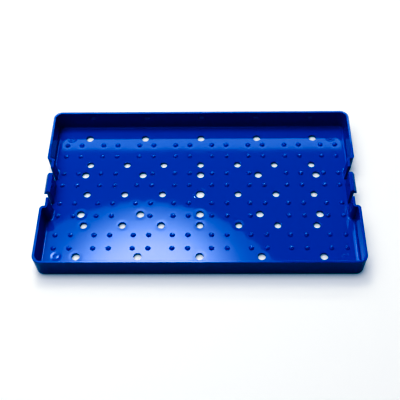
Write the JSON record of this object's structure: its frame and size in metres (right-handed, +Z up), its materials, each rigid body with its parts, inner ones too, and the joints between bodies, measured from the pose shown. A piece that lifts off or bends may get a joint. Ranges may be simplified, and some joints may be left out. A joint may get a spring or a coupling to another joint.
{
  "type": "instrument cassette tray",
  "caption": "Open perforated tray of glossy blue plastic with domed studs on its floor and a springy snap latch in a recess at each end.",
  "frame": {"origin": "on the ground under the centre of the tray", "axes": "+X along the length, +Y across the width towards the rear wall, +Z up out of the open top"},
  "size_m": [0.254, 0.1524, 0.0196],
  "materials": {
    "tray_plastic": "glossy moulded royal blue plastic"
  },
  "bodies": {
    "tray": {"tray": "tray_plastic"},
    "left_latch": {"left_latch": "tray_plastic"},
    "right_latch": {"right_latch": "tray_plastic"}
  },
  "joints": [
    {"name": "left_latch_flex", "type": "hinge", "parent": "tray", "child": "left_latch", "pos_m": [-0.12129, 0, 0.0033], "axis": [0, 1, 0], "range_deg": [0, 10], "stiffness_Nm_per_rad": 2.6},
    {"name": "right_latch_flex", "type": "hinge", "parent": "tray", "child": "right_latch", "pos_m": [0.12129, 0, 0.0033], "axis": [0, -1, 0], "range_deg": [0, 10], "stiffness_Nm_per_rad": 2.6}
  ]
}
